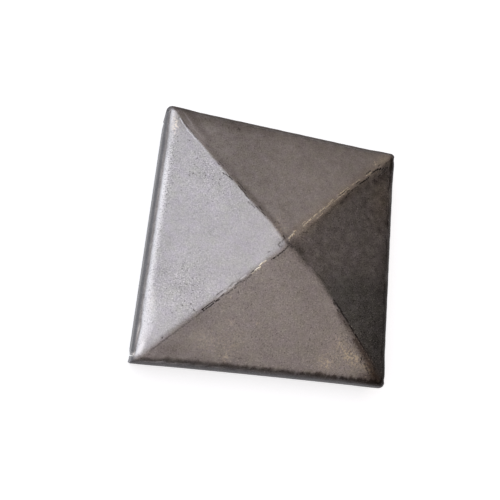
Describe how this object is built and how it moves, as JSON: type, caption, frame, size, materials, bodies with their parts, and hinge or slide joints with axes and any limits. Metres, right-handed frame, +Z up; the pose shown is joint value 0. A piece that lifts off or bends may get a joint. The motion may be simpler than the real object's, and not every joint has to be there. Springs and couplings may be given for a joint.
{
  "type": "steel post cap",
  "caption": "Pressed steel cap for a square newel post: low pyramid top with shallow hips, rounded eaves and turned-down skirts parted by a slot at each corner.",
  "frame": {"origin": "middle of the open underside, level with the skirt's free edge", "axes": "+Z up through the peak; X and Y square to the skirts, with the full-width skirts facing +Y and -Y"},
  "size_m": [0.0814, 0.0814, 0.0216],
  "materials": {
    "steel": "raw pressed mild steel, unpainted, satin, with dark mill marks and brighter worn hips"
  },
  "bodies": {
    "root": {"post_cap": "steel"}
  },
  "joints": []
}
